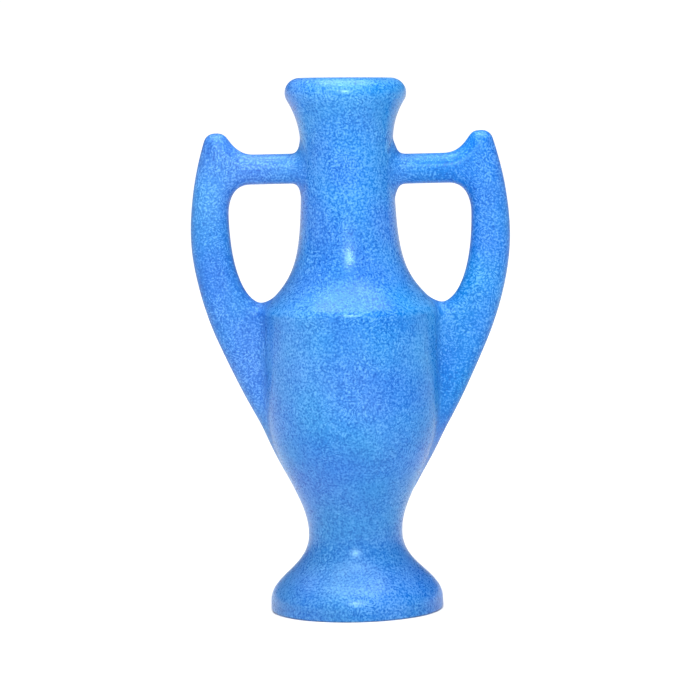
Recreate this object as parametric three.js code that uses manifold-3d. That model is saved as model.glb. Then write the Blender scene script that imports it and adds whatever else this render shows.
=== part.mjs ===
// A two-handled amphora in glazed stoneware, 300 mm high.
//
// It is made the way a potter makes one: five thrown sections (pedestal foot, lower body,
// shoulder, neck and lip) luted together with slip on tongue-and-groove seams, and on each
// side a slab-built upright and a crossbar, each scribed to the surface that it sits on.
// Millimetres, +Z up. The origin is the middle of the circle that the foot stands on, and
// the handles lie along X.

import * as THREE from 'three';
import { mergeVertices } from 'three/addons/utils/BufferGeometryUtils.js';
import Module from 'manifold-3d';

const wasm = await Module();
wasm.setup();

// Driving dimensions.
const HEIGHT = 300;
const FOOT_RADIUS = 48.7; // the widest part of the pedestal
const WAIST = { r: 26.5, z: 43 }; // the narrow stem, where the foot meets the bowl
const BELLY_RADIUS = 49.5; // the upright wall below the shoulder
const BELLY_SEAM_Z = 128; // where the lower body and the shoulder section are luted
const RIDGE_Z = 170.9; // where the wall and the sloping shoulder would meet if they were sharp
const NECK_ROOT = { r: 30.5, z: 198 };
const NECK_RADIUS = 26; // the slimmest part of the neck
const LIP_SEAM_Z = 262;
const BORE_RADIUS = 19.5; // inside the neck and mouth
const SLAB = { thickness: 17, edge: { wide: 5.6, deep: 7 } }; // the handles, front to back
const BAR = { top: 257, bottom: 240.2, rootX: 12, flareX: 31.5, endX: 57 }; // a crossbar
// The handles were set by eye: how far each one stands off the drawing, outwards and upwards.
const HAND_SET = {
  right: { turn: 0, out: 1, up: -0.75 },
  left: { turn: Math.PI, out: -1, up: 0.75 },
};
const SEAM_GAP = 0.3; // the slip between two pieces
const GROWN_BY = 0.35; // how far the handles stand off the body that they are scribed to

// Fineness of the facets.
const TURNS = 44; // facets round a thrown section
const BEND = 5; // steps along each curved stretch of a thrown profile
const SLAB_BEND = 6; // steps along each curved stretch of a handle's outline
const SLAB_ROUND = 3; // steps across a handle's rounded edge

const glaze = { color: 0x4a8fe6, roughness: 0.42, metalness: 0 };
const material = () => new THREE.MeshStandardMaterial(glaze);

// Tongue-and-groove seams, from the foot up: the level of the lower piece's top face, and the
// radii between which its tongue stands.
const TONGUE_HEIGHT = 2;
const SEAMS = {
  waist: { z: WAIST.z, from: 20.5, to: 23 },
  belly: { z: BELLY_SEAM_Z, from: 45.4, to: 47.6 },
  neck: { z: NECK_ROOT.z, from: 25.8, to: 28.2 },
  lip: { z: LIP_SEAM_Z, from: 21.6, to: 23.8 },
};

// Continues a profile inwards over the lower piece's top face and its tongue.
function overTongue(path, seam) {
  path.lineTo(seam.to, seam.z);
  path.lineTo(seam.to, seam.z + TONGUE_HEIGHT);
  path.lineTo(seam.from, seam.z + TONGUE_HEIGHT);
  path.lineTo(seam.from, seam.z);
}

// Continues a profile outwards under the upper piece's bottom face and its groove.
function underGroove(path, seam) {
  const level = seam.z + SEAM_GAP;
  path.lineTo(seam.from - SEAM_GAP, level);
  path.lineTo(seam.from - SEAM_GAP, level + TONGUE_HEIGHT);
  path.lineTo(seam.to + SEAM_GAP, level + TONGUE_HEIGHT);
  path.lineTo(seam.to + SEAM_GAP, level);
}

// Each stretch of the outside, drawn upwards in (radius, height).
const outside = {
  foot(path) {
    const edge = 2; // rounding at the standing edge
    path.lineTo(FOOT_RADIUS - edge, 0);
    path.quadraticCurveTo(FOOT_RADIUS, 0, FOOT_RADIUS, edge);
    path.lineTo(FOOT_RADIUS, 6);
    path.bezierCurveTo(FOOT_RADIUS, 19.6, WAIST.r, 24.6, WAIST.r, WAIST.z);
  },
  bowl(path) {
    path.bezierCurveTo(WAIST.r, 55, 31.6, 64.3, 40.6, 82.3);
    path.bezierCurveTo(48.6, 98.3, BELLY_RADIUS, 108, BELLY_RADIUS, BELLY_SEAM_Z);
  },
  shoulder(path) {
    const round = 2.1; // distance of the rounding's ends from the sharp ridge
    const slant = round * Math.SQRT1_2;
    path.lineTo(BELLY_RADIUS, RIDGE_Z - round);
    path.quadraticCurveTo(BELLY_RADIUS, RIDGE_Z, BELLY_RADIUS - slant, RIDGE_Z + slant);
    path.lineTo(44, RIDGE_Z + BELLY_RADIUS - 44);
    path.bezierCurveTo(37.5, 182.9, 33.25, 188.8, NECK_ROOT.r, NECK_ROOT.z);
  },
  neck(path) {
    path.bezierCurveTo(27.8, 207.4, NECK_RADIUS + 0.6, 220, NECK_RADIUS + 0.2, 240);
    path.lineTo(NECK_RADIUS, 252);
    path.lineTo(NECK_RADIUS, LIP_SEAM_Z);
  },
  lip(path) {
    const roll = { r: 25.6, radius: 8.5, from: -0.56 }; // the rolled edge, a full round
    const rollZ = HEIGHT - roll.radius;
    const startR = roll.r + roll.radius * Math.cos(roll.from);
    const startZ = rollZ + roll.radius * Math.sin(roll.from);
    path.bezierCurveTo(NECK_RADIUS, 271, 28.4, 279.5, startR, startZ);
    path.absarc(roll.r, rollZ, roll.radius, roll.from, Math.PI / 2, false);
  },
};

// A thrown section: its profile, closed on itself, turned about the Z axis.
function thrown(draw) {
  const path = new THREE.Path();
  draw(path);
  const points = path.getPoints(BEND);
  const last = points[points.length - 1];
  if (last.distanceTo(points[0]) > 1e-6) points.push(points[0].clone());
  return new THREE.LatheGeometry(points, TURNS).rotateX(Math.PI / 2);
}

// The pedestal is hollow from below, so that it dries and fires evenly, and stands on a ring.
function footGeometry() {
  const ring = 40.5; // inner radius of the ring that it stands on
  const well = 17; // radius of the hollow at the top
  return thrown((path) => {
    path.moveTo(ring, 0);
    outside.foot(path);
    overTongue(path, SEAMS.waist);
    path.lineTo(well, WAIST.z);
    path.bezierCurveTo(well, 24, ring - 1.5, 18, ring - 1.5, 1.5);
  });
}

// The lower body is a closed bowl: its floor covers the hollow pedestal.
function lowerBodyGeometry() {
  const floorZ = 52;
  const inside = 43.5;
  return thrown((path) => {
    path.moveTo(0, WAIST.z + SEAM_GAP);
    underGroove(path, SEAMS.waist);
    path.lineTo(WAIST.r, WAIST.z + SEAM_GAP);
    outside.bowl(path);
    overTongue(path, SEAMS.belly);
    path.lineTo(inside, BELLY_SEAM_Z);
    path.bezierCurveTo(inside, 104, 39, 91, 33, 80);
    path.bezierCurveTo(24, 64, 19, floorZ, 8, floorZ);
    path.lineTo(0, floorZ);
  });
}

function shoulderGeometry() {
  const inside = 43.5;
  const throat = 23.5;
  return thrown((path) => {
    path.moveTo(inside, BELLY_SEAM_Z + SEAM_GAP);
    underGroove(path, SEAMS.belly);
    path.lineTo(BELLY_RADIUS, BELLY_SEAM_Z + SEAM_GAP);
    outside.shoulder(path);
    overTongue(path, SEAMS.neck);
    path.lineTo(throat, NECK_ROOT.z);
    path.bezierCurveTo(throat + 0.3, 180, inside, 172, inside, 160);
  });
}

function neckGeometry() {
  const throat = 23.5;
  return thrown((path) => {
    path.moveTo(throat, NECK_ROOT.z + SEAM_GAP);
    underGroove(path, SEAMS.neck);
    path.lineTo(NECK_ROOT.r, NECK_ROOT.z + SEAM_GAP);
    outside.neck(path);
    overTongue(path, SEAMS.lip);
    path.lineTo(BORE_RADIUS, LIP_SEAM_Z);
    path.lineTo(BORE_RADIUS, 228);
    path.bezierCurveTo(BORE_RADIUS, 216, throat - 0.5, 210, throat, NECK_ROOT.z + SEAM_GAP);
  });
}

function lipGeometry() {
  const inner = 5; // rounding at the mouth's inner edge
  return thrown((path) => {
    path.moveTo(BORE_RADIUS, LIP_SEAM_Z + SEAM_GAP);
    underGroove(path, SEAMS.lip);
    path.lineTo(NECK_RADIUS, LIP_SEAM_Z + SEAM_GAP);
    outside.lip(path);
    path.lineTo(BORE_RADIUS + inner, HEIGHT);
    path.quadraticCurveTo(BORE_RADIUS, HEIGHT, BORE_RADIUS, HEIGHT - inner);
  });
}

// A slab with edges rounded to half an ellipse, standing in the XZ plane and centred on it.
// The outline is the slab's full outer edge.
function slab(outline) {
  const { thickness, edge } = SLAB;
  const flat = thickness - 2 * edge.deep;
  const geometry = new THREE.ExtrudeGeometry(outline, {
    depth: flat,
    curveSegments: SLAB_BEND,
    bevelThickness: edge.deep,
    bevelSize: edge.wide,
    bevelOffset: -edge.wide,
    bevelSegments: SLAB_ROUND,
  });
  return geometry.translate(0, 0, -flat / 2).rotateX(Math.PI / 2);
}

// A handle seen from the front: a broad wing that rises off the wall of the body, thins round
// the loop and ends in a blunt spur, with a bar across to the neck below the spur. The roots
// of both run on into the body.
function handleOutline() {
  // The spur has a narrow flat top between two rounded corners.
  const spur = { outerX: 75.4, innerX: 72.9, z: 263.5, radius: 5.8, from: 0.25, to: 2.55 };
  const tipX = spur.outerX + spur.radius * Math.cos(spur.from);
  const tipZ = spur.z + spur.radius * Math.sin(spur.from);
  const outline = new THREE.Shape();
  outline.moveTo(39.5, 84);
  outline.bezierCurveTo(53.1, 103.5, 65.6, 128.4, 75.1, 150.4);
  outline.bezierCurveTo(83.8, 170.4, 89.7, 193, 89.7, 213);
  outline.bezierCurveTo(89.7, 231, tipX + 4.6, tipZ - 15.1, tipX, tipZ);
  outline.absarc(spur.outerX, spur.z, spur.radius, spur.from, Math.PI / 2, false);
  outline.absarc(spur.innerX, spur.z, spur.radius, Math.PI / 2, spur.to, false);
  outline.bezierCurveTo(66, 263.6, 62, BAR.top + 0.2, 54, BAR.top);
  outline.lineTo(BAR.flareX, BAR.top);
  outline.quadraticCurveTo(NECK_RADIUS + 1, BAR.top, NECK_RADIUS - 1, BAR.top + 5);
  outline.lineTo(BAR.rootX, BAR.top + 5);
  outline.lineTo(BAR.rootX, BAR.bottom - 4);
  outline.lineTo(NECK_RADIUS - 1, BAR.bottom - 4);
  outline.quadraticCurveTo(NECK_RADIUS + 1, BAR.bottom, BAR.flareX, BAR.bottom);
  outline.lineTo(56, BAR.bottom);
  outline.bezierCurveTo(61.5, BAR.bottom, 66.8, 237, 68.1, 226);
  outline.bezierCurveTo(68.5, 205, 64, 174.5, 49.5, 173.2);
  outline.lineTo(28, 172);
  outline.lineTo(28, 84);
  outline.closePath();
  return outline;
}

// A closed mesh as a manifold-3d solid. Triangles that shrink to nothing on the turning axis
// are left out.
function solid(geometry) {
  const bare = geometry.clone();
  bare.deleteAttribute('normal');
  bare.deleteAttribute('uv');
  const merged = mergeVertices(bare, 1e-3);
  const corners = merged.index.array;
  const kept = [];
  for (let i = 0; i < corners.length; i += 3) {
    const [a, b, c] = corners.subarray(i, i + 3);
    if (a !== b && b !== c && c !== a) kept.push(a, b, c);
  }
  return new wasm.Manifold(
    new wasm.Mesh({
      numProp: 3,
      vertProperties: merged.attributes.position.array,
      triVerts: new Uint32Array(kept),
    }),
  );
}

function geometryOf(manifold) {
  const mesh = manifold.getMesh();
  const geometry = new THREE.BufferGeometry();
  geometry.setAttribute('position', new THREE.BufferAttribute(mesh.vertProperties, 3));
  geometry.setIndex(new THREE.BufferAttribute(mesh.triVerts, 1));
  geometry.computeVertexNormals();
  return geometry;
}

// The whole thrown body without its hollows, standing off the real surface all round. The
// handles are scribed to it.
function bodyCutter() {
  const path = new THREE.Path();
  path.moveTo(0, 0);
  for (const stretch of Object.values(outside)) stretch(path);
  path.lineTo(0, HEIGHT);
  const grown = path.getPoints(BEND).map((p) => new THREE.Vector2(p.x + (p.x > 0 ? GROWN_BY : 0), p.y));
  return solid(new THREE.LatheGeometry(grown, TURNS).rotateX(Math.PI / 2));
}

// A block that holds everything between the body's axis and the given X, at the bar's level.
function barZone(toX) {
  const height = 50; // more than the bar's own, and short of the loop's lower corner
  const block = new THREE.BoxGeometry(toX, 2 * SLAB.thickness, height);
  return solid(block.translate(toX / 2, 0, (BAR.top + BAR.bottom) / 2));
}

// Both pieces of one handle, as it stands on the +X side.
function handleGeometries(set, body) {
  const placed = slab(handleOutline()).translate(set.out, 0, set.up);
  const handle = solid(placed).subtract(body);
  return {
    upright: geometryOf(handle.subtract(barZone(BAR.endX + SEAM_GAP))),
    crossbar: geometryOf(handle.intersect(barZone(BAR.endX))),
  };
}

function piece(name, geometry) {
  const mesh = new THREE.Mesh(geometry, material());
  mesh.name = name;
  return mesh;
}

function bodySections() {
  const body = new THREE.Group();
  body.add(piece('pedestal_foot', footGeometry()));
  body.add(piece('lower_body', lowerBodyGeometry()));
  body.add(piece('shoulder', shoulderGeometry()));
  body.add(piece('neck', neckGeometry()));
  body.add(piece('lip', lipGeometry()));
  return body;
}

// The left handle is shaped on the +X side too, and turned half round about the body's axis.
function handles() {
  const both = new THREE.Group();
  const body = bodyCutter();
  for (const [side, set] of Object.entries(HAND_SET)) {
    const handle = new THREE.Group();
    handle.rotation.z = set.turn;
    for (const [part, geometry] of Object.entries(handleGeometries(set, body))) {
      handle.add(piece(`${side}_${part}`, geometry));
    }
    both.add(handle);
  }
  return both;
}

const amphora = new THREE.Group();
amphora.add(bodySections(), handles());

export default amphora;
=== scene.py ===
"""A two-handled amphora in a mottled satin blue glaze, on a white studio floor.

Each CAD node is replaced by a finely shaped piece in the same place, named after it. The
thrown sections are turned from smooth profiles. The handles are drawn as distance fields,
blended into the body with a soft fillet, and meshed where the field is zero. Shapes are
worked out in millimetres and become metres when a mesh is made.
"""

import math

import bmesh
import bpy
import numpy as np
from mathutils import Matrix, Vector


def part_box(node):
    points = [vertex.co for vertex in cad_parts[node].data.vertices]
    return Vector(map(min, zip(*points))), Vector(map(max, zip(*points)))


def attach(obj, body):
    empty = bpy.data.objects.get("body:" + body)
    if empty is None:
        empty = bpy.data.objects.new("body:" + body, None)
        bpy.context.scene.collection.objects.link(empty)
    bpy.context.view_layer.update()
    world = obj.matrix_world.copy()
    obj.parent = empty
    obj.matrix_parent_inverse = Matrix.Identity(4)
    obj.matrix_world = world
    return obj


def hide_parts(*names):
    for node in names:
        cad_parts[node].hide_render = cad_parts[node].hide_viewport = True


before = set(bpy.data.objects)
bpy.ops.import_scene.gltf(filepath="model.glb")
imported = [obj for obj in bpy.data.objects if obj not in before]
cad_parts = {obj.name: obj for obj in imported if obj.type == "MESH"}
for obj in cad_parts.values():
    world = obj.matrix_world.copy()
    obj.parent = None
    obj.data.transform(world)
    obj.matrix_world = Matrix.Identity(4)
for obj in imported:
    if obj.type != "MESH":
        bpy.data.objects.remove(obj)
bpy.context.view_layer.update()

MM = 0.001
X, Y, Z = range(3)


def low(node, axis):
    """The lowest coordinate of a CAD node along an axis, in millimetres."""
    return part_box(node)[0][axis] / MM


def high(node, axis):
    """The highest coordinate of a CAD node along an axis, in millimetres."""
    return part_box(node)[1][axis] / MM


# --- Driving dimensions, read from the frame (millimetres) ---
SEAM_GAP = 0.3  # the CAD's gap between two sections
HEIGHT = high("lip", Z)
FOOT_RADIUS = high("pedestal_foot", X)
BODY_RADIUS = high("shoulder", X)
NECK_ROOT_RADIUS = high("neck", X)
WAIST_Z = low("lower_body", Z) - SEAM_GAP / 2
BELLY_SEAM_Z = low("shoulder", Z) - SEAM_GAP / 2
NECK_SEAM_Z = low("neck", Z) - SEAM_GAP / 2
LIP_SEAM_Z = low("lip", Z) - SEAM_GAP / 2
HANDLE_THICKNESS = high("right_upright", Y) - low("right_upright", Y)
BAR_END_X = high("right_crossbar", X) + SEAM_GAP / 2

# --- The rest of the drawing, as in the CAD (millimetres) ---
FOOT_EDGE = 6.0  # height of the foot's upright edge
WAIST_RADIUS = 26.5
NECK_RADIUS = 26.0
CONE_END_RADIUS = 44.0  # where the shoulder's straight slope starts to curve up to the neck
RIDGE_Z = 170.9  # where wall and shoulder would meet if they were sharp
BORE_RADIUS = 19.5  # inside the neck and mouth
THROAT_RADIUS = 23.5  # inside the root of the neck
BELLY_INSIDE = 43.5  # inner radius of the belly
FLOOR_Z = 52.0  # the bowl's floor, inside
RING_RADIUS = 40.5  # inner radius of the ring that the foot stands on
FOOT_RING_EDGE = 1.5  # rounding at that radius
WELL_RADIUS = 17.0  # top of the hollow under the foot
TONGUE_HEIGHT = 2.0
BAR_TOP = 257.0
BAR_BOTTOM = 240.2
HAND_SET = {  # which side each handle is on, and how far off the drawing it was set
    "right": {"side": 1.0, "out": 1.0, "up": -0.75},
    "left": {"side": -1.0, "out": -1.0, "up": 0.75},
}

# --- Fineness ---
TURNS = 192  # columns round a thrown section
STEP = 1.3  # longest step along a thrown profile
BEND = math.radians(7)  # sharpest bend between two steps of a thrown profile
INSIDE_STEP = 3.5
INSIDE_BEND = math.radians(12)
NET_STEP = 0.9  # spacing of the handles' mesh
RELAXING = (0.5, 0.5, 0.5, 0.0)  # how far that mesh is evened out, each time back on its surface
FIELD_STEP = 0.5  # spacing of the two-dimensional distance fields


# --- Curves ---
def bezier(*points, steps=120):
    """Points along a Bezier curve of any degree."""
    t = np.linspace(0, 1, steps + 1)[:, None]
    layer = [np.array(p, float)[None, :] for p in points]
    while len(layer) > 1:
        layer = [a * (1 - t) + b * t for a, b in zip(layer, layer[1:])]
    return layer[0]


def arc(centre, radius, start, end, steps=120):
    """Points along an arc of a circle, from one angle to another in radians."""
    t = np.linspace(start, end, steps + 1)
    return np.array(centre) + radius * np.stack([np.cos(t), np.sin(t)], axis=1)


def joined(*stretches):
    """Stretches that follow on from each other, as one line without doubled points."""
    line = np.concatenate(stretches)
    keep = np.ones(len(line), bool)
    keep[1:] = np.linalg.norm(np.diff(line, axis=0), axis=1) > 1e-6
    return line[keep]


def tangents(line):
    """A line's unit direction at each of its points."""
    d = np.gradient(line, axis=0)
    d[0], d[-1] = line[1] - line[0], line[-1] - line[-2]
    return d / np.linalg.norm(d, axis=1)[:, None]


def thinned(line, step, bend):
    """The same line with as few points as the step and the bend allow, and its tangents."""
    t = tangents(line)
    length = np.linalg.norm(np.diff(line, axis=0), axis=1)
    turn = np.arccos(np.clip((t[1:] * t[:-1]).sum(axis=1), -1, 1))
    along = np.concatenate([[0], np.cumsum(length / step + turn / bend)])
    wanted = np.linspace(0, along[-1], max(2, int(math.ceil(along[-1])) + 1))

    def picked(values):
        return np.stack([np.interp(wanted, along, v) for v in values.T], axis=1)

    direction = picked(t)
    return picked(line), direction / np.linalg.norm(direction, axis=1)[:, None]


# --- The thrown body's outside, drawn upwards in (radius, height) ---
def foot_outside():
    edge = 2.0  # rounding at the standing edge
    return joined(
        bezier((FOOT_RADIUS - edge, 0), (FOOT_RADIUS, 0), (FOOT_RADIUS, edge)),
        bezier((FOOT_RADIUS, edge), (FOOT_RADIUS, FOOT_EDGE)),
        bezier((FOOT_RADIUS, FOOT_EDGE), (FOOT_RADIUS, 19.6), (WAIST_RADIUS, 24.6),
               (WAIST_RADIUS, WAIST_Z)),
    )


def bowl_outside():
    return joined(
        bezier((WAIST_RADIUS, WAIST_Z), (WAIST_RADIUS, 55), (31.6, 64.3), (40.6, 82.3)),
        bezier((40.6, 82.3), (48.6, 98.3), (BODY_RADIUS, 108), (BODY_RADIUS, BELLY_SEAM_Z)),
    )


def shoulder_outside():
    rounding = 3.2  # distance of the rounding's ends from the sharp ridge
    slant = rounding * math.sqrt(0.5)
    cone_end = (CONE_END_RADIUS, RIDGE_Z + BODY_RADIUS - CONE_END_RADIUS)
    return joined(
        bezier((BODY_RADIUS, BELLY_SEAM_Z), (BODY_RADIUS, RIDGE_Z - rounding)),
        bezier((BODY_RADIUS, RIDGE_Z - rounding), (BODY_RADIUS, RIDGE_Z),
               (BODY_RADIUS - slant, RIDGE_Z + slant)),
        bezier((BODY_RADIUS - slant, RIDGE_Z + slant), cone_end),
        bezier(cone_end, (37.5, 182.9), (33.25, 188.8), (NECK_ROOT_RADIUS, NECK_SEAM_Z)),
    )


def neck_outside():
    return joined(
        bezier((NECK_ROOT_RADIUS, NECK_SEAM_Z), (27.8, 207.4), (NECK_RADIUS + 0.6, 220),
               (NECK_RADIUS, 250)),
        bezier((NECK_RADIUS, 250), (NECK_RADIUS, LIP_SEAM_Z)),
    )


def lip_outside():
    roll_radius = 8.5
    centre = (25.6, HEIGHT - roll_radius)
    roll = arc(centre, roll_radius, -0.56, math.pi / 2)
    flare = bezier((NECK_RADIUS, LIP_SEAM_Z), (NECK_RADIUS, 271), (28.4, 279.5), roll[0])
    return joined(flare, roll)


OUTSIDE = [foot_outside(), bowl_outside(), shoulder_outside(), neck_outside(), lip_outside()]


# --- Unevenness of work done by hand, the same for every piece ---
WAVES = [  # (wavelength along X, Y and Z in mm, phase, size); 0 is no wave along that axis
    ((0, 0, 83), 0.4, 0.0006),
    ((0, 0, 41), 2.1, 0.0005),
    ((150, 0, 130), 1.3, 0.0005),
    ((0, 140, 90), 4.0, 0.0005),
    ((37, 31, 47), 0.9, 0.0003),
    ((-23, 29, 26), 5.2, 0.00015),
]

DIP_FROM, DIP_SLOPE = 272, 0.019  # the lip's dip: the level that it starts at, and its slope


def by_hand(points, normals):
    """Points drawn a varying little way in towards the axis, and their normals after that.

    The lip also dips towards +X. The move depends on the place alone, so pieces that meet
    still meet, and it never goes outwards, so they stay within the CAD's box."""
    share, gradient = np.zeros(len(points)), np.zeros_like(points)
    for wavelength, phase, size in WAVES:
        k = np.array([2 * math.pi / w if w else 0.0 for w in wavelength])
        angle = points @ k + phase
        share += size * (np.sin(angle) - 1)
        gradient += size * np.cos(angle)[:, None] * k
    level = np.array([1.0, 1.0, 0.0])
    moved = points * (1 + share[:, None] * level)
    across = (points * normals * level).sum(axis=1)
    bent = normals * (1 - share[:, None] * level) - across[:, None] * gradient

    rise = np.clip((points[:, Z] - DIP_FROM) / (HEIGHT - DIP_FROM), 0, 1)
    weight = rise ** 2 * (3 - 2 * rise)
    steepness = 6 * rise * (1 - rise) / (HEIGHT - DIP_FROM)
    drop = DIP_SLOPE * (points[:, X] + high("lip", X))
    moved[:, Z] -= drop * weight
    bent[:, X] += normals[:, Z] * DIP_SLOPE * weight
    bent[:, Z] += normals[:, Z] * drop * steepness
    return moved, bent / np.linalg.norm(bent, axis=1)[:, None]


# --- Distance fields ---
def distance_inside(points, outline):
    """How deep each 2-D point lies inside a closed outline; negative outside."""
    batch = 8000  # points at a time, to spare memory
    a, b = outline, np.roll(outline, -1, axis=0)
    edge = b - a
    length2 = np.maximum((edge ** 2).sum(axis=1), 1e-12)
    result = np.empty(len(points))
    for start in range(0, len(points), batch):
        p = points[start:start + batch]
        px, py = p[:, 0:1] - a[:, 0], p[:, 1:2] - a[:, 1]
        t = np.clip((px * edge[:, 0] + py * edge[:, 1]) / length2, 0, 1)
        near = np.sqrt(((px - t * edge[:, 0]) ** 2 + (py - t * edge[:, 1]) ** 2).min(axis=1))
        above, below = a[:, 1] > p[:, 1:2], b[:, 1] > p[:, 1:2]
        rise = np.where(edge[:, 1] == 0, 1, edge[:, 1])
        hit = (above != below) & (px < py / rise * edge[:, 0])
        result[start:start + batch] = np.where(hit.sum(axis=1) % 2 == 1, near, -near)
    return result


class Field:
    """A smooth two-dimensional field: samples on a square grid under a cubic B-spline."""

    def __init__(self, outline, lowest, highest, blur=0.0):
        self.low = np.array(lowest, float)
        count = np.ceil((np.array(highest) - self.low) / FIELD_STEP).astype(int) + 1
        u, v = np.meshgrid(np.arange(count[0]), np.arange(count[1]), indexing="ij")
        points = self.low + FIELD_STEP * np.stack([u.ravel(), v.ravel()], axis=1)
        self.values = distance_inside(points, outline).reshape(count)
        if blur:
            self.values = blurred(self.values, blur / FIELD_STEP)

    def __call__(self, u, v):
        size = np.array(self.values.shape)
        at = (np.stack([u, v], axis=-1) - self.low) / FIELD_STEP
        at = np.clip(at, 1.0, size - 2.001)
        cell = np.floor(at).astype(int)
        part = at - cell
        weight = [
            (1 - part) ** 3 / 6,
            (3 * part ** 3 - 6 * part ** 2 + 4) / 6,
            (-3 * part ** 3 + 3 * part ** 2 + 3 * part + 1) / 6,
            part ** 3 / 6,
        ]
        total = np.zeros(at.shape[:-1])
        for i in range(4):
            for j in range(4):
                w = weight[i][..., 0] * weight[j][..., 1]
                total += w * self.values[cell[..., 0] + i - 1, cell[..., 1] + j - 1]
        return total


def blurred(values, sigma):
    """A sampled field after a Gaussian blur, sigma in samples."""
    reach = int(3 * sigma) + 1
    kernel = np.exp(-0.5 * (np.arange(-reach, reach + 1) / sigma) ** 2)
    kernel /= kernel.sum()
    for axis in (0, 1):
        margins = [(reach, reach) if a == axis else (0, 0) for a in (0, 1)]
        padded = np.pad(values, margins, "edge")
        values = np.apply_along_axis(np.convolve, axis, padded, kernel, "valid")
    return values


def smooth_join(a, b, fillet):
    """The union of two distance fields (negative inside) with a rounded corner between them."""
    h = np.maximum(fillet - np.abs(a - b), 0) / fillet
    return np.minimum(a, b) - h * h * fillet / 4


# --- The shape of the handles (millimetres) ---
ROUNDING = 8.2  # how far in from its outline a handle's edge starts to round off
SOFTENING = 1.3  # blur of the outline's field, which eases its corners
FILLET = 5.5  # rounding between a handle and the body
SUNK = 0.03  # the fillet's foot lies this far under the body's surface, so no edge shows
BURIED = 0.8  # how far a handle piece runs on into the body
SKIRT = 6.4  # how far the fillet's foot reaches from the handle
HANDLE_SPACE = np.array([[14.0, -16.0, 64.0], [94.0, 16.0, 275.0]])  # holds a whole handle


def handle_outline():
    """A handle seen from the front, at the +X side, before it is set on the body."""
    flare_x = 31.5  # where the bar starts to flare towards the neck
    root_x = 12  # the bar runs on into the body this far
    spur_z, spur_radius = 263.5, 5.8
    outer = arc((75.4, spur_z), spur_radius, 0.25, math.pi / 2)
    inner = arc((72.9, spur_z), spur_radius, math.pi / 2, 2.55)
    tip = outer[0]
    return joined(
        bezier((31.5, 72.5), (39.5, 84), steps=12),  # the root, which runs on under the bowl's skin
        bezier((39.5, 84), (53.1, 103.5), (65.6, 128.4), (75.1, 150.4)),
        bezier((75.1, 150.4), (83.8, 170.4), (89.7, 193), (89.7, 213)),
        bezier((89.7, 213), (89.7, 231), (tip[0] + 4.6, tip[1] - 15.1), tip),
        outer,
        inner,
        bezier(inner[-1], (66, 263.6), (62, BAR_TOP + 0.2), (54, BAR_TOP)),
        bezier((54, BAR_TOP), (flare_x, BAR_TOP)),
        bezier((flare_x, BAR_TOP), (27, BAR_TOP), (25, BAR_TOP + 5)),
        bezier((25, BAR_TOP + 5), (root_x, BAR_TOP + 5), steps=1),
        bezier((root_x, BAR_TOP + 5), (root_x, BAR_BOTTOM - 4), steps=1),
        bezier((root_x, BAR_BOTTOM - 4), (25, BAR_BOTTOM - 4), steps=1),
        bezier((25, BAR_BOTTOM - 4), (27, BAR_BOTTOM), (flare_x, BAR_BOTTOM)),
        bezier((flare_x, BAR_BOTTOM), (56, BAR_BOTTOM)),
        bezier((56, BAR_BOTTOM), (61.5, BAR_BOTTOM), (66.8, 237), (68.1, 226)),
        bezier((68.1, 226), (68.5, 205), (64, 174.5), (49.5, 173.2)),
        bezier((49.5, 173.2), (28, 172), steps=1),
        bezier((28, 172), (22, 72.5), steps=1),
    )


def every_so_far(line, step):
    """A line's points about a step apart."""
    return thinned(line, step, math.radians(360))[0]


BODY_FIELD = Field(
    np.concatenate([[[0, 0]], every_so_far(joined(*OUTSIDE), FIELD_STEP), [[0, HEIGHT]]]),
    lowest=(0, 60), highest=(100, 300))
HANDLE_FIELD = Field(
    every_so_far(handle_outline(), FIELD_STEP),
    lowest=(8, 62), highest=(98, 280), blur=SOFTENING)


def outside_body(p):
    """Distance from the thrown body's surface, negative inside."""
    return -BODY_FIELD(np.hypot(p[..., X], p[..., Y]), p[..., Z])


def outside_handle(p, setting):
    """Roughly the distance from a handle's surface, negative inside.

    In section a handle is flat in front and behind, and its edges are half ellipses."""
    depth = HANDLE_FIELD(p[..., X] - setting["out"], p[..., Z] - setting["up"])
    half = HANDLE_THICKNESS / 2
    u = np.maximum(ROUNDING - depth, 0) / ROUNDING
    v = np.abs(p[..., Y]) / half
    length = np.maximum(np.hypot(u, v), 1e-6)
    steepness = np.maximum(np.hypot(u / ROUNDING, v / half) / length, 1e-6)
    return (length - 1) / steepness


def spin(setting):
    """What X, Y and Z are multiplied by to bring a handle from the +X side to its own."""
    return np.array([setting["side"], setting["side"], 1.0])


def net_vertices(values):
    """A vertex in each cell that a sampled field's zero crosses, at the middle of the
    crossings on its edges, and the vertices' numbers by cell."""
    cells = np.array(values.shape) - 1
    total, count = np.zeros((*cells, 3)), np.zeros(cells)
    ends = (slice(None, -1), slice(1, None))
    for axis in range(3):
        others = [a for a in range(3) if a != axis]
        for i in (0, 1):
            for j in (0, 1):
                at = [None] * 3
                at[others[0]], at[others[1]] = ends[i], ends[j]
                at[axis] = ends[0]
                first = values[tuple(at)]
                at[axis] = ends[1]
                second = values[tuple(at)]
                crossed = (first < 0) != (second < 0)
                gap = np.where(crossed, first - second, 1)
                offset = np.zeros((*cells, 3))
                offset[..., axis] = np.where(crossed, first / gap, 0)
                offset[..., others[0]], offset[..., others[1]] = i, j
                total += offset * crossed[..., None]
                count += crossed
    used = count > 0
    number = np.full(used.shape, -1)
    number[used] = np.arange(used.sum())
    return np.stack(np.nonzero(used), axis=1) + total[used] / count[used][:, None], number


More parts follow.
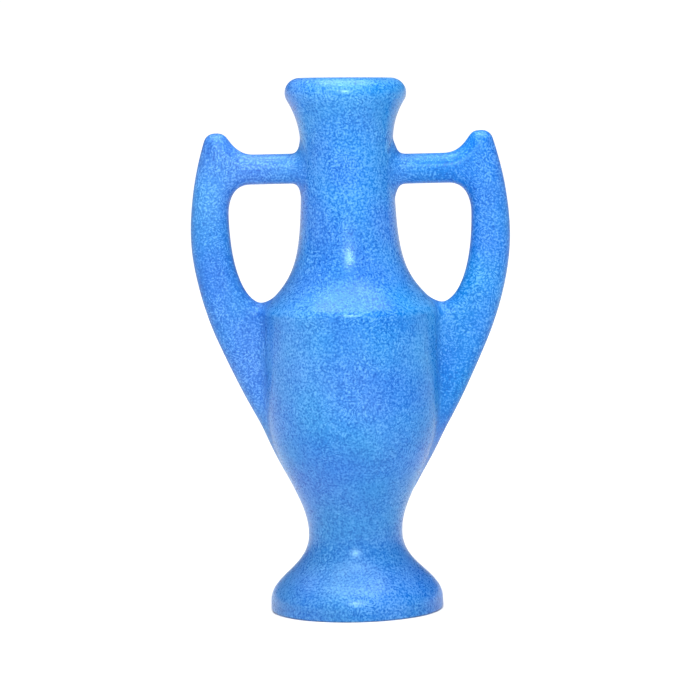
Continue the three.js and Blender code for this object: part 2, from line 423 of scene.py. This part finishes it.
def net_quads(inside, number):
    """A quad across each edge between samples where inside changes, facing outwards."""
    quads = []
    for axis in range(3):
        b, c = (axis + 1) % 3, (axis + 2) % 3
        start = [slice(1, -1)] * 3
        start[axis] = slice(None, -1)
        after = list(start)
        after[axis] = slice(1, None)
        here, there = inside[tuple(start)], inside[tuple(after)]
        for flip, crossed in ((False, here & ~there), (True, ~here & there)):
            sample = np.stack(np.nonzero(crossed), axis=1)
            sample[:, b] += 1
            sample[:, c] += 1
            ring = []
            for db, dc in ((-1, -1), (0, -1), (0, 0), (-1, 0)):
                cell = sample.copy()
                cell[:, b] += db
                cell[:, c] += dc
                ring.append(number[cell[:, 0], cell[:, 1], cell[:, 2]])
            quads.append(np.stack(ring[::-1] if flip else ring, axis=1))
    return np.concatenate(quads)


def slope(field, p, reach=0.05):
    """A field's gradient, by differences."""
    result = np.empty_like(p)
    for axis in range(3):
        d = np.zeros(3)
        d[axis] = reach
        result[:, axis] = (field(p + d) - field(p - d)) / (2 * reach)
    return result


def handle_shape(setting):
    """One handle with its fillets and its buried root, as vertices (mm), quads and its field."""
    def skin(p):
        return smooth_join(outside_body(p) + SUNK, outside_handle(p, setting), FILLET)

    def whole(p):
        buried_end = -outside_body(p) - BURIED
        skirt_end = outside_handle(p, setting) - SKIRT
        return np.maximum.reduce([skin(p), buried_end, skirt_end])

    def on_skin(p):
        """Whether points lie on the skin, and not on the closing faces under the body."""
        above_buried_end = outside_body(p) > -SUNK - 0.4
        within_skirt = outside_handle(p, setting) < SKIRT - 1
        return above_buried_end & within_skirt

    lowest, highest = HANDLE_SPACE
    count = np.ceil((highest - lowest) / NET_STEP).astype(int)
    grid = np.stack(np.meshgrid(*[np.arange(c) for c in count], indexing="ij"), axis=-1)
    values = whole(lowest + NET_STEP * grid)
    points, number = net_vertices(values)
    points = lowest + points * NET_STEP
    quads = net_quads(values < 0, number)
    for share in RELAXING:
        shown = on_skin(points)
        if share:
            points = np.where(shown[:, None], relaxed(points, quads, share), points)
        for _ in range(3):
            gradient = slope(skin, points)
            size = np.maximum((gradient ** 2).sum(axis=1), 1e-6)
            step = (skin(points) / size)[:, None] * gradient
            points = points - np.where(shown[:, None], np.clip(step, -NET_STEP, NET_STEP), 0)
    return points, quads, skin


def relaxed(points, quads, share):
    """Points moved a share of the way to the middle of their neighbours."""
    total, count = np.zeros_like(points), np.zeros(len(points))
    for i in range(4):
        a, b = quads[:, i], quads[:, (i + 1) % 4]
        np.add.at(total, a, points[b])
        np.add.at(total, b, points[a])
        np.add.at(count, a, 1)
        np.add.at(count, b, 1)
    return points + share * (total / np.maximum(count, 1)[:, None] - points)


def half_beyond(whole, at_x, side, zone_low):
    """The part of a cut handle on one side of at_x, closed. The wing below the bar's zone
    goes with the +1 side."""
    half = whole.copy()
    drop = []
    for face in half.faces:
        middle = face.calc_center_median()
        beyond = side if middle.z <= zone_low else (middle.x - at_x) * side
        if beyond < 0:
            drop.append(face)
    bmesh.ops.delete(half, geom=drop, context="FACES")
    rim = [e for e in half.edges if e.is_boundary]
    for cap in bmesh.ops.holes_fill(half, edges=rim, sides=0)["faces"]:
        cap.smooth = False
    bmesh.ops.recalc_face_normals(half, faces=half.faces)
    half.verts.index_update()
    half.faces.ensure_lookup_table()
    return half


def cut_bar_off(points, quads, at_x):
    """The upright and the crossbar, cut apart at a plane across the bar and closed there."""
    whole = bmesh.new()
    verts = [whole.verts.new(p) for p in points]
    for q in quads.tolist():
        whole.faces.new([verts[i] for i in q])
    margin = 20.0  # of the bar's zone above and below it
    zone_low, zone_high = BAR_BOTTOM - margin, BAR_TOP + margin
    near = [f for f in whole.faces if all(zone_low < v.co.z < zone_high for v in f.verts)]
    geometry = {*near, *(e for f in near for e in f.edges), *(v for f in near for v in f.verts)}
    bmesh.ops.bisect_plane(whole, geom=list(geometry), dist=1e-5,
                           plane_co=(at_x, 0, 0), plane_no=(1, 0, 0))
    halves = {part: half_beyond(whole, at_x, side, zone_low)
              for part, side in (("crossbar", -1), ("upright", 1))}
    whole.free()
    return halves


# --- Making pieces ---
def new_piece(node, points, faces, smooth, corner_normals, marks, material):
    """A mesh object from points in mm, with its own corner normals and its vertex marks, named
    after the CAD node that it replaces."""
    name = f"glazed_{node}"
    mesh = bpy.data.meshes.new(name)
    mesh.from_pydata((np.asarray(points) * MM).tolist(), [], faces)
    mesh.polygons.foreach_set("use_smooth", smooth)
    for mark, values in marks.items():
        layer = mesh.attributes.new(mark, "FLOAT", "POINT")
        layer.data.foreach_set("value", np.asarray(values, dtype=np.float32))
    mesh.normals_split_custom_set(corner_normals)
    mesh.materials.append(material)
    piece = bpy.data.objects.new(name, mesh)
    bpy.context.scene.collection.objects.link(piece)
    return piece


def place(piece, node):
    """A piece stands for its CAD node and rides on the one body."""
    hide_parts(node)
    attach(piece, "root")


CREASE_REACH, FOOT_REACH = 2.5, 6.0  # how far the painted shade reaches from a crease and up from the floor


def crease_and_foot_shade(points):
    """From 0 to 1, how much painted shade deepens the glaze: along the creases of the handles and
    up from the floor at the foot.
    """
    from_crease = np.full(len(points), np.inf)
    for setting in HAND_SET.values():
        there = points * spin(setting)
        both = np.maximum(outside_handle(there, setting), outside_body(there))
        from_crease = np.where(there[:, X] > 0, np.minimum(from_crease, both), from_crease)
    crease = 0.4 * np.exp(-np.maximum(from_crease, 0) / CREASE_REACH)
    return np.maximum(crease, np.exp(-points[:, Z] / FOOT_REACH))


def edge_mark(line):
    """From 0 to 1, how sharply a profile turns outwards at each point: where a painted highlight
    makes the glaze paler.
    """
    sharp = 4.0  # a radius of this many millimetres or less counts as 1
    t = tangents(line)
    length = np.maximum(np.linalg.norm(np.gradient(line, axis=0), axis=1), 1e-6)
    d = np.gradient(t, axis=0) / length[:, None]
    return np.clip((t[:, 0] * d[:, 1] - t[:, 1] * d[:, 0]) * sharp, 0, 1)


def turned_round(line):
    """A profile's points turned round Z, a ring of TURNS for each point."""
    angles = 2 * math.pi * np.arange(TURNS) / TURNS
    return np.concatenate([
        np.stack([np.cos(angles) * r, np.sin(angles) * r, np.full(TURNS, z)], axis=1)
        for r, z in line])


def thrown(node, stretches, bare, material):
    """A thrown section: stretches of its closed profile, each (line, kind), turned round Z.

    kind is outside, inside or flat. Outside and inside surfaces are smooth along and round,
    flat ones are the faces at a seam. The profile runs up the outside and down the inside."""
    points, faces, normals, edge_highlight = [], [], [], []
    column = np.arange(TURNS)
    first = 0
    for line, kind in stretches:
        if kind == "outside":
            line, t = thinned(line, STEP, BEND)
        elif kind == "inside":
            line, t = thinned(line, INSIDE_STEP, INSIDE_BEND)
        else:
            t = tangents(line)
        points.append(turned_round(line))
        normals.append(turned_round(np.stack([t[:, 1], -t[:, 0]], axis=1)))
        # paler on the outside's sharp outward bends: a painted highlight
        edge_highlight.append(np.repeat(edge_mark(line) if kind == "outside" else np.zeros(len(line)), TURNS))
        here, beside = first + column, first + (column + 1) % TURNS
        for row in range(len(line) - 1):
            a, b = row * TURNS, (row + 1) * TURNS
            faces.extend(np.stack([here + a, beside + a, beside + b, here + b], axis=1).tolist())
        first += len(line) * TURNS
    points, normals = np.concatenate(points), np.concatenate(normals)
    moved, bent = by_hand(points, normals)
    # marks: a painted highlight on sharp outward bends, painted shade in the creases and near the
    # floor, and the bare clay
    marks = {"edge_highlight": np.concatenate(edge_highlight), "painted_shade": crease_and_foot_shade(points), "bare": bare(points)}
    return welded_piece(node, moved, faces, bent, marks, material)


def welded_piece(node, points, faces, normals, marks, material):
    """A piece whose doubled points are merged, each corner keeping its own stretch's normal."""
    key = np.round(points, 4)
    _, index, inverse = np.unique(key, axis=0, return_index=True, return_inverse=True)
    inverse = inverse.ravel()
    kept_faces, corners = [], []
    for face in faces:
        welded = inverse[face].tolist()
        keep = [i for i in range(len(face)) if welded[i] != welded[i - 1]]
        if len(keep) > 2:
            kept_faces.append([welded[i] for i in keep])
            corners.extend(normals[face[i]] for i in keep)
    marks = {mark: values[index] for mark, values in marks.items()}
    smooth = [True] * len(kept_faces)
    return new_piece(node, points[index], kept_faces, smooth, corners, marks, material)


# --- Materials ---
class Nodes:
    """Shorthand for adding nodes to a material or a world."""

    def __init__(self, tree):
        self.tree = tree

    def add(self, kind, inputs=None, **settings):
        """A new node. Its inputs, by name or number, are values, or sockets to link from."""
        node = self.tree.nodes.new(kind)
        for key, value in settings.items():
            setattr(node, key, value)
        for key, value in (inputs or {}).items():
            if isinstance(value, bpy.types.NodeSocket):
                self.tree.links.new(value, node.inputs[key])
            else:
                node.inputs[key].default_value = value
        return node

    def noise(self, vector, per_metre, detail=2.0, roughness=0.5, distortion=0.0):
        return self.add("ShaderNodeTexNoise", {
            "Vector": vector, "Scale": per_metre, "Detail": detail, "Roughness": roughness,
            "Distortion": distortion}).outputs["Fac"]

    def mark(self, which):
        """A number that new_piece() stored on the mesh."""
        return self.add("ShaderNodeAttribute", attribute_name=which).outputs["Fac"]

    def scaled(self, value, from_low, from_high, to_low=0.0, to_high=1.0):
        return self.add("ShaderNodeMapRange", {
            "Value": value, "From Min": from_low, "From Max": from_high,
            "To Min": to_low, "To Max": to_high}).outputs["Result"]

    def swing(self, noise, size):
        """A noise stretched to swing between minus and plus size."""
        return self.scaled(noise, 0.3, 0.7, -size, size)

    def product(self, a, b, clamp=False):
        return self.add("ShaderNodeMath", {0: a, 1: b}, operation="MULTIPLY",
                        use_clamp=clamp).outputs[0]

    def total(self, *values):
        result = values[0]
        for value in values[1:]:
            result = self.add("ShaderNodeMath", {0: result, 1: value}, operation="ADD").outputs[0]
        return result

    def mixed(self, share, a, b):
        """Colour a, or b as far as the share says."""
        return self.add("ShaderNodeMix", {"Factor": share, 6: a, 7: b}, data_type="RGBA").outputs[2]


def opaque(red, green, blue):
    return (red, green, blue, 1.0)


def glaze_mottle(nodes, position, grain):
    """Wriggling lines and fine grain, from about -1 to 1. The lines are the contours of a
    slow noise, and they fade in and out in patches."""
    slow = nodes.scaled(nodes.noise(position, 138, detail=0), 0, 1, 0, 70)
    wriggle = nodes.scaled(nodes.noise(position, 430, detail=1), 0, 1, 0, 10)
    phase = nodes.total(slow, wriggle)
    lines = nodes.add("ShaderNodeMath", {0: phase}, operation="SINE").outputs[0]
    patches = nodes.scaled(nodes.noise(position, 70, detail=1), 0.35, 0.65, 0.10, 0.44)
    return nodes.total(nodes.product(lines, patches), nodes.swing(grain, 0.7))


def glaze_colour(nodes, position, mottle, cloud, colours):
    """Deep, middle or pale by the mottle, clouds and runs, paler on sharp outward bends as a
    painted highlight and deeper in the creases and near the floor as painted shade, with a slight
    drift in hue and saturation."""
    deep, middle, pale = colours
    stretched = nodes.add("ShaderNodeMapping", {
        "Vector": position, "Scale": (1.0, 1.0, 0.3)}).outputs[0]
    tone = nodes.total(
        mottle,
        nodes.swing(cloud, 0.13),
        nodes.swing(nodes.noise(position, 14), 0.3),
        nodes.swing(nodes.noise(stretched, 150, distortion=0.4), 0.1),
        # paler on sharp outward bends: a painted highlight
        nodes.product(nodes.mark("edge_highlight"), 0.4),
        # deeper in the creases and near the floor: painted shade
        nodes.product(nodes.mark("painted_shade"), -0.4))
    darker = nodes.product(tone, -1.0, clamp=True)
    lighter = nodes.product(tone, 1.0, clamp=True)
    colour = nodes.mixed(lighter, nodes.mixed(darker, middle, deep), pale)
    across = nodes.add("ShaderNodeSeparateXYZ", {0: position}).outputs[X]
    saturation = nodes.total(
        # greyer towards -X and more saturated towards +X, besides a random drift
        nodes.scaled(across, -0.05, 0.05, 0.965, 1.01),
        nodes.scaled(nodes.noise(position, 20), 0.35, 0.65, -0.02, 0.02))
    hue = nodes.scaled(nodes.noise(position, 26, detail=1), 0.35, 0.65, 0.492, 0.506)
    return nodes.add("ShaderNodeHueSaturation", {
        "Color": colour, "Hue": hue, "Saturation": saturation}).outputs[0]


def glaze(name, deep, middle, pale, satin=0.30):
    """A satin blue glaze, with bare buff clay where the mark called bare says that it was
    wiped off. satin is its mean roughness."""
    material = bpy.data.materials.new(name)
    material.use_nodes = True
    nodes = Nodes(material.node_tree)
    nodes.tree.nodes.clear()
    position = nodes.add("ShaderNodeTexCoord").outputs["Object"]
    grain = nodes.noise(position, 850, detail=1)
    cloud = nodes.noise(position, 60, detail=3, roughness=0.6)
    mottle = glaze_mottle(nodes, position, grain)

    fired = glaze_colour(nodes, position, mottle, cloud, (deep, middle, pale))
    clay = nodes.mixed(
        nodes.scaled(grain, 0.35, 0.65), opaque(0.50, 0.36, 0.24), opaque(0.66, 0.52, 0.38))
    wiped = nodes.scaled(nodes.total(nodes.mark("bare"), nodes.swing(cloud, 0.25)), 0.45, 0.55)

    glossy = nodes.total(
        nodes.scaled(grain, 0.3, 0.7, satin - 0.055, satin + 0.055), nodes.swing(cloud, 0.03))
    clay_roughness = 0.85
    rough = nodes.add("ShaderNodeMix", {"Factor": wiped, 2: glossy, 3: clay_roughness},
                      data_type="FLOAT").outputs[0]

    height = nodes.total(  # in millimetres
        nodes.scaled(mottle, -1.0, 1.0, 0.0, 0.035), nodes.scaled(cloud, 0.3, 0.7, 0.0, 0.07))
    bump = nodes.add("ShaderNodeBump", {
        "Height": height, "Strength": 1.0, "Distance": MM}).outputs[0]

    shader = nodes.add("ShaderNodeBsdfPrincipled", {
        "Base Color": nodes.mixed(wiped, fired, clay), "Roughness": rough, "Normal": bump,
        "Specular IOR Level": 0.32, "Specular Tint": opaque(0.6, 1.0, 1.0)})
    nodes.add("ShaderNodeOutputMaterial", {"Surface": shader.outputs[0]})
    return material


BODY_GLAZE = glaze(
    "body_glaze", deep=opaque(0.002, 0.080, 0.37), middle=opaque(0.017, 0.155, 0.48),
    pale=opaque(0.097, 0.303, 0.63))
HANDLE_GLAZE = glaze(
    "handle_glaze", deep=opaque(0.002, 0.074, 0.36), middle=opaque(0.014, 0.141, 0.47),
    pale=opaque(0.085, 0.277, 0.62), satin=0.42)
FOOT_GLAZE = glaze(
    "foot_glaze", deep=opaque(0.002, 0.076, 0.37), middle=opaque(0.017, 0.146, 0.475),
    pale=opaque(0.094, 0.290, 0.62))


# --- The thrown sections ---
def never_bare(points):
    return np.zeros(len(points))


def bare_at_foot(points):
    """The foot's standing ring is wiped clean of glaze below, and a little way up inside."""
    wiped_to = 5.5  # height inside the ring
    radius = np.hypot(points[:, X], points[:, Y])
    under = np.clip(FOOT_RADIUS - 1.0 - radius, 0, 1)
    near_table = np.clip((wiped_to - points[:, Z]) / 1.5, 0, 1)
    return under * near_table


def over_tongue(z, start, end, inner, outer):
    """A lower section's top face, from its outer to its inner radius, with its tongue."""
    return np.array([(outer, z), (end, z), (end, z + TONGUE_HEIGHT), (start, z + TONGUE_HEIGHT),
                     (start, z), (inner, z)])


def under_groove(z, start, end, inner, outer):
    """An upper section's bottom face, from its inner to its outer radius, with its groove."""
    start, end = start - SEAM_GAP, end + SEAM_GAP
    top = z + TONGUE_HEIGHT + SEAM_GAP
    return np.array([(inner, z), (start, z), (start, top), (end, top), (end, z), (outer, z)])


def corners(line):
    """A line with sharp corners, as separate flat stretches."""
    return [(line[i:i + 2], "flat") for i in range(len(line) - 1)]


WAIST_SEAM = {"z": WAIST_Z, "start": 20.5, "end": 23.0, "outer": WAIST_RADIUS}
BELLY_SEAM = {"z": BELLY_SEAM_Z, "start": 45.4, "end": 47.6, "outer": BODY_RADIUS}
NECK_SEAM = {"z": NECK_SEAM_Z, "start": 25.8, "end": 28.2, "outer": NECK_ROOT_RADIUS}
LIP_SEAM = {"z": LIP_SEAM_Z, "start": 21.6, "end": 23.8, "outer": NECK_RADIUS}


def make_foot():
    lip = RING_RADIUS - FOOT_RING_EDGE
    well = bezier((WELL_RADIUS, WAIST_Z), (WELL_RADIUS, 24), (lip, 18), (lip, FOOT_RING_EDGE))
    ring_edge = bezier((lip, FOOT_RING_EDGE), (lip, 0), (RING_RADIUS, 0))
    ring_flat = bezier((RING_RADIUS, 0), (FOOT_RADIUS - 2.0, 0))
    return thrown("pedestal_foot", [
        (joined(ring_flat, OUTSIDE[0]), "outside"),
        *corners(over_tongue(inner=WELL_RADIUS, **WAIST_SEAM)),
        (joined(well, ring_edge), "inside"),
    ], bare_at_foot, FOOT_GLAZE)


def make_lower_body():
    inside = joined(
        bezier((BELLY_INSIDE, BELLY_SEAM_Z), (BELLY_INSIDE, 104), (39, 91), (33, 80)),
        bezier((33, 80), (24, 64), (19, FLOOR_Z), (8, FLOOR_Z)),
        bezier((8, FLOOR_Z), (0.0, FLOOR_Z)))
    bottom = under_groove(inner=0.0, **WAIST_SEAM)
    return thrown("lower_body", [
        *corners(bottom),
        (OUTSIDE[1], "outside"),
        *corners(over_tongue(inner=BELLY_INSIDE, **BELLY_SEAM)),
        (inside, "inside"),
    ], never_bare, BODY_GLAZE)


def make_shoulder():
    inside = joined(
        bezier((THROAT_RADIUS, NECK_SEAM_Z), (THROAT_RADIUS + 0.3, 180), (BELLY_INSIDE, 172),
               (BELLY_INSIDE, 160)),
        bezier((BELLY_INSIDE, 160), (BELLY_INSIDE, BELLY_SEAM_Z)))
    return thrown("shoulder", [
        *corners(under_groove(inner=BELLY_INSIDE, **BELLY_SEAM)),
        (OUTSIDE[2], "outside"),
        *corners(over_tongue(inner=THROAT_RADIUS, **NECK_SEAM)),
        (inside, "inside"),
    ], never_bare, BODY_GLAZE)


def make_neck():
    inside = joined(
        bezier((BORE_RADIUS, LIP_SEAM_Z), (BORE_RADIUS, 228)),
        bezier((BORE_RADIUS, 228), (BORE_RADIUS, 216), (THROAT_RADIUS - 0.5, 210),
               (THROAT_RADIUS, NECK_SEAM_Z)))
    return thrown("neck", [
        *corners(under_groove(inner=THROAT_RADIUS, **NECK_SEAM)),
        (OUTSIDE[3], "outside"),
        *corners(over_tongue(inner=BORE_RADIUS, **LIP_SEAM)),
        (inside, "inside"),
    ], never_bare, BODY_GLAZE)


def make_lip():
    inner = 5.0  # rounding at the mouth's inner edge
    crown = joined(
        OUTSIDE[4],
        bezier(OUTSIDE[4][-1], (BORE_RADIUS + inner, HEIGHT)),
        bezier((BORE_RADIUS + inner, HEIGHT), (BORE_RADIUS, HEIGHT), (BORE_RADIUS, HEIGHT - inner)))
    return thrown("lip", [
        *corners(under_groove(inner=BORE_RADIUS, **LIP_SEAM)),
        (crown, "outside"),
        (bezier((BORE_RADIUS, HEIGHT - inner), (BORE_RADIUS, LIP_SEAM_Z)), "inside"),
    ], never_bare, BODY_GLAZE)


place(make_foot(), "pedestal_foot")
place(make_lower_body(), "lower_body")
place(make_shoulder(), "shoulder")
place(make_neck(), "neck")
place(make_lip(), "lip")


# --- The handles ---
def handle_piece(node, part, skin, setting):
    """One half of a handle as a piece: normals from the field, then its side, then unevenness."""
    points = np.array([v.co for v in part.verts])
    faces = [[v.index for v in f.verts] for f in part.faces]
    caps = {f.index: np.array(f.normal) for f in part.faces if not f.smooth and len(f.verts) > 4}
    normals = slope(skin, points)
    normals /= np.maximum(np.linalg.norm(normals, axis=1), 1e-9)[:, None]
    points, normals = points * spin(setting), normals * spin(setting)
    moved, bent = by_hand(points, normals)
    corner_normals = []
    for i, face in enumerate(faces):
        if i in caps:
            corner_normals.extend([tuple(caps[i] * spin(setting))] * len(face))
        else:
            corner_normals.extend(bent[face].tolist())
    none = np.zeros(len(points))
    # the handles carry painted shade in their creases, and no painted highlight
    marks = {"edge_highlight": none, "painted_shade": crease_and_foot_shade(points), "bare": none}
    smooth = [i not in caps for i in range(len(faces))]
    return new_piece(node, moved, faces, smooth, corner_normals, marks, HANDLE_GLAZE)


for side, setting in HAND_SET.items():
    points, quads, skin = handle_shape(setting)
    for part, half in cut_bar_off(points, quads, BAR_END_X).items():
        node = f"{side}_{part}"
        place(handle_piece(node, half, skin, setting), node)
        half.free()


# --- Stage, light and camera ---
def make_floor():
    """A pale floor that glows like a light table further out, so that it runs into the horizon."""
    reach, near, far = 40.0, 0.25, 1.6  # metres; the glow rises from near to far
    mesh = bpy.data.meshes.new("floor")
    square = [(-reach, -reach, 0), (reach, -reach, 0), (reach, reach, 0), (-reach, reach, 0)]
    mesh.from_pydata(square, [], [(0, 1, 2, 3)])
    material = bpy.data.materials.new("white_floor")
    material.use_nodes = True
    nodes = Nodes(material.node_tree)
    position = nodes.add("ShaderNodeTexCoord").outputs["Object"]
    away = nodes.add("ShaderNodeVectorMath", {0: position}, operation="LENGTH").outputs["Value"]
    shader = nodes.tree.nodes["Principled BSDF"]
    shader.inputs["Base Color"].default_value = opaque(0.80, 0.80, 0.80)
    shader.inputs["Roughness"].default_value = 0.9
    shader.inputs["Specular IOR Level"].default_value = 0.0
    shader.inputs["Emission Color"].default_value = opaque(1, 1, 1)
    glow = nodes.scaled(away, near, far, 0.05, 0.7)
    nodes.tree.links.new(glow, shader.inputs["Emission Strength"])
    mesh.materials.append(material)
    floor = bpy.data.objects.new("floor", mesh)
    bpy.context.scene.collection.objects.link(floor)


def make_surroundings():
    """A white studio: bright at the horizon, darker above it, brightest overhead."""
    levels = [(0.0, 1.0), (0.05, 1.0), (0.12, 0.11), (0.55, 0.20), (0.80, 0.75), (1.0, 0.9)]
    world = bpy.data.worlds.new("studio")
    bpy.context.scene.world = world
    world.use_nodes = True
    nodes = Nodes(world.node_tree)
    nodes.tree.nodes.clear()
    direction = nodes.add("ShaderNodeTexCoord").outputs["Generated"]
    up = nodes.add("ShaderNodeSeparateXYZ", {0: direction}).outputs[Z]
    ramp = nodes.add("ShaderNodeValToRGB", {"Fac": up})
    while len(ramp.color_ramp.elements) < len(levels):
        ramp.color_ramp.elements.new(0.5)
    for element, (at, level) in zip(ramp.color_ramp.elements, levels):
        element.position = at
        element.color = opaque(level, level, level)
    back = nodes.add("ShaderNodeBackground", {"Color": ramp.outputs["Color"], "Strength": 1.05})
    nodes.add("ShaderNodeOutputWorld", {"Surface": back.outputs[0]})


def area_light(name, at, size, power):
    """A round lamp, aimed at the middle of the object."""
    light = bpy.data.lights.new(name, "AREA")
    light.shape = "DISK"
    light.size = size
    light.energy = power
    lamp = bpy.data.objects.new(name, light)
    aim = Vector((0, 0, HEIGHT * MM / 2))
    lamp.location = at
    lamp.rotation_euler = (aim - Vector(at)).to_track_quat("-Z", "Y").to_euler()
    bpy.context.scene.collection.objects.link(lamp)


def make_lights():
    area_light("overhead", (0.0, -0.12, 1.30), 1.25, 22.0)  # the shoulder's and lip's broad sheen
    area_light("front", (-0.08, -1.5, 0.7), 0.6, 1.8)
    area_light("key", (-0.01, -0.90, 0.60), 0.06, 6.6)  # the small highlights down the middle


LEAN = math.radians(1.35)  # the object leans to the left in the picture
AIM_X = -0.8  # millimetres; the middle of the picture is a little left of the axis


def make_camera():
    """The photograph's viewpoint: over six heights away, a little above the lip."""
    height = HEIGHT * MM
    at = Vector((0, -6.3 * height, 1.06 * height))
    aim = Vector((AIM_X * MM, 0, 0.4892 * height))
    data = bpy.data.cameras.new("camera")
    data.sensor_width = 36.0
    data.lens = 173.62
    camera = bpy.data.objects.new("camera", data)
    level = (aim - at).to_track_quat("-Z", "Y").to_matrix()
    camera.rotation_euler = (level @ Matrix.Rotation(-LEAN, 3, "Z")).to_euler()
    camera.location = at
    bpy.context.scene.collection.objects.link(camera)
    bpy.context.scene.camera = camera


make_floor()
make_surroundings()
make_lights()
make_camera()
bpy.context.scene.view_settings.view_transform = "Standard"

bpy.context.view_layer.update()
